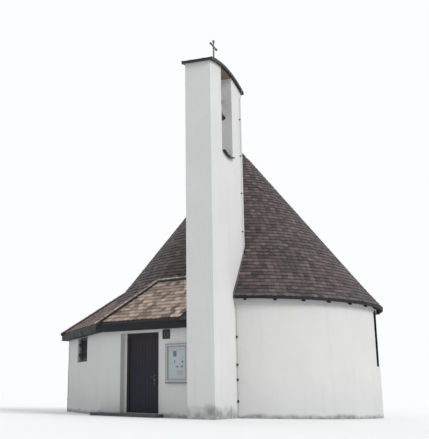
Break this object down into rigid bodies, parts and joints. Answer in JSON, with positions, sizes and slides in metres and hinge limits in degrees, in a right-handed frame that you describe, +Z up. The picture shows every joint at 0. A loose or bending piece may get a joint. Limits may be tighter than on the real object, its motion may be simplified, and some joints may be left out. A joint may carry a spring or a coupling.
{
  "type": "chapel",
  "caption": "Small round chapel with a steep tiled cone roof, a slim bell tower with an arched cap and cross, and a low hipped anteroom with a plank door.",
  "frame": {"origin": "on the vertical axis of the round nave, at ground level, on the underside of its floor", "axes": "+Z up; the tower front faces -Y, so +X is to the right for someone who looks at it, and the anteroom lies at -X"},
  "size_m": [10.898, 10.67, 11.27],
  "materials": {
    "render": "matte",
    "roof_tiles": "matte",
    "dark_trim": "satin",
    "dark_boards": "satin",
    "rafter_wood": "matte",
    "floor_stone": "matte",
    "step_stone": "matte",
    "door_wood": "satin",
    "bell_bronze": "aged",
    "iron": "matte",
    "steel": "brushed",
    "window_metal": "satin",
    "glass": "clear",
    "board_metal": "satin",
    "plaque_enamel": "gloss"
  },
  "bodies": {
    "building": {"annex_back_wall": "render", "annex_eaves": "dark_boards", "annex_floor": "floor_stone", "annex_roof_back": "roof_tiles", "annex_roof_front": "roof_tiles", "annex_roof_side": "roof_tiles", "belfry_floor": "render", "bell_bearings": "iron", "cone_roof_1": "roof_tiles", "cone_roof_2": "roof_tiles", "cone_roof_3": "roof_tiles", "cone_roof_4": "roof_tiles", "door_frame": "door_wood", "door_lintel": "render", "door_pintles": "iron", "eave_board": "dark_boards", "entrance_step": "step_stone", "front_wall_left": "render", "front_wall_right": "render", "nave_floor": "floor_stone", "nave_wall_1": "render", "nave_wall_2": "render", "nave_wall_3": "render", "nave_wall_4": "render", "nave_window_frame": "window_metal", "nave_window_pane": "glass", "notice_board": "board_metal", "notice_board_glass": "glass", "rafter_tails": "rafter_wood", "rainwater_pipe": "dark_trim", "ring_beam": "render", "side_wall": "render", "sill_flashing": "dark_trim", "tower_back_pier": "render", "tower_back_wall": "render", "tower_cap": "dark_trim", "tower_cross": "iron", "tower_front_pier": "render", "tower_front_wall": "render", "tower_left_wall": "render", "tower_right_wall": "render", "wall_plaque": "plaque_enamel", "window_frame": "window_metal", "window_pane": "glass"},
    "door": {"door_leaf": "door_wood", "door_handle": "steel", "door_hinges": "iron"},
    "bell_body": {"bell": "bell_bronze", "bell_clapper": "iron", "bell_headstock": "iron"}
  },
  "joints": [
    {"name": "door_hinge", "type": "hinge", "parent": "building", "child": "door", "pos_m": [-2.06055, -4.67078, 1], "axis": [0, 0, 1], "range_deg": [0, 95]},
    {"name": "bell_swing", "type": "hinge", "parent": "building", "child": "bell_body", "pos_m": [0.5875, -4.585, 9.38], "axis": [0, 1, 0], "range_deg": [-50, 50]}
  ]
}
